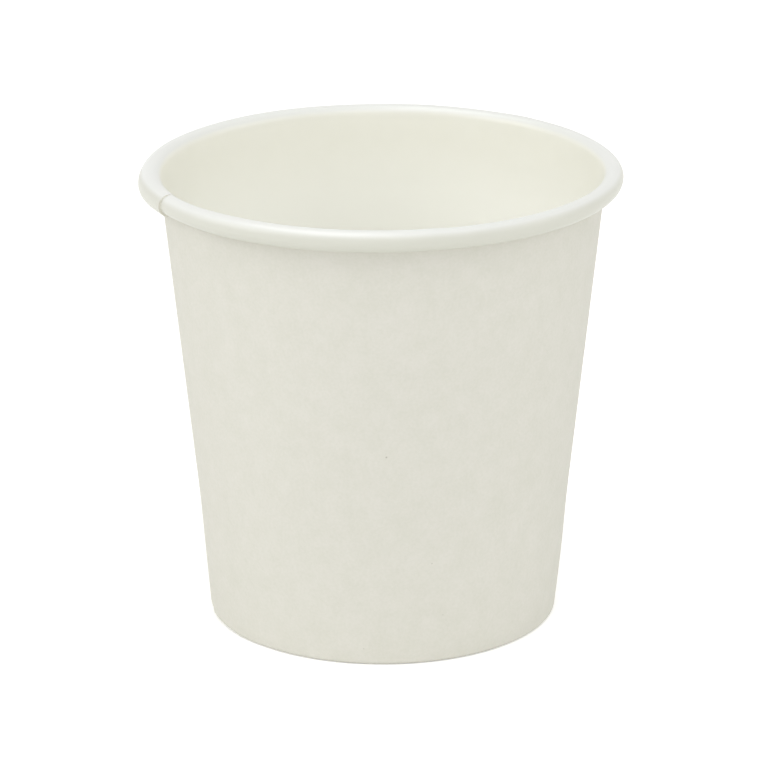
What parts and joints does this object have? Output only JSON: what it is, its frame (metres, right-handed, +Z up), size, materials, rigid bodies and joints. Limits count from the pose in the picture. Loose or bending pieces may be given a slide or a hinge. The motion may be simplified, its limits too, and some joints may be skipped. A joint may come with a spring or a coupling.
{
  "type": "paper cup",
  "caption": "Small plain paper cup for a hot drink: tapered board wall with rolled rim, lapped side seam and folded hem, round a recessed bottom disc.",
  "frame": {"origin": "centre of the foot, on the surface that the cup stands on", "axes": "+Z up along the cup's axis through the mouth, -Y the side that faces the viewer, +X to the viewer's right"},
  "size_m": [0.062, 0.062, 0.06],
  "materials": {
    "wall_board": "matt uncoated paperboard outside, thin satin film inside and over the rolled rim",
    "bottom_board": "paperboard with a thin satin film on the drink side"
  },
  "bodies": {
    "root": {"side_wall": "wall_board", "bottom_disc": "bottom_board"}
  },
  "joints": []
}
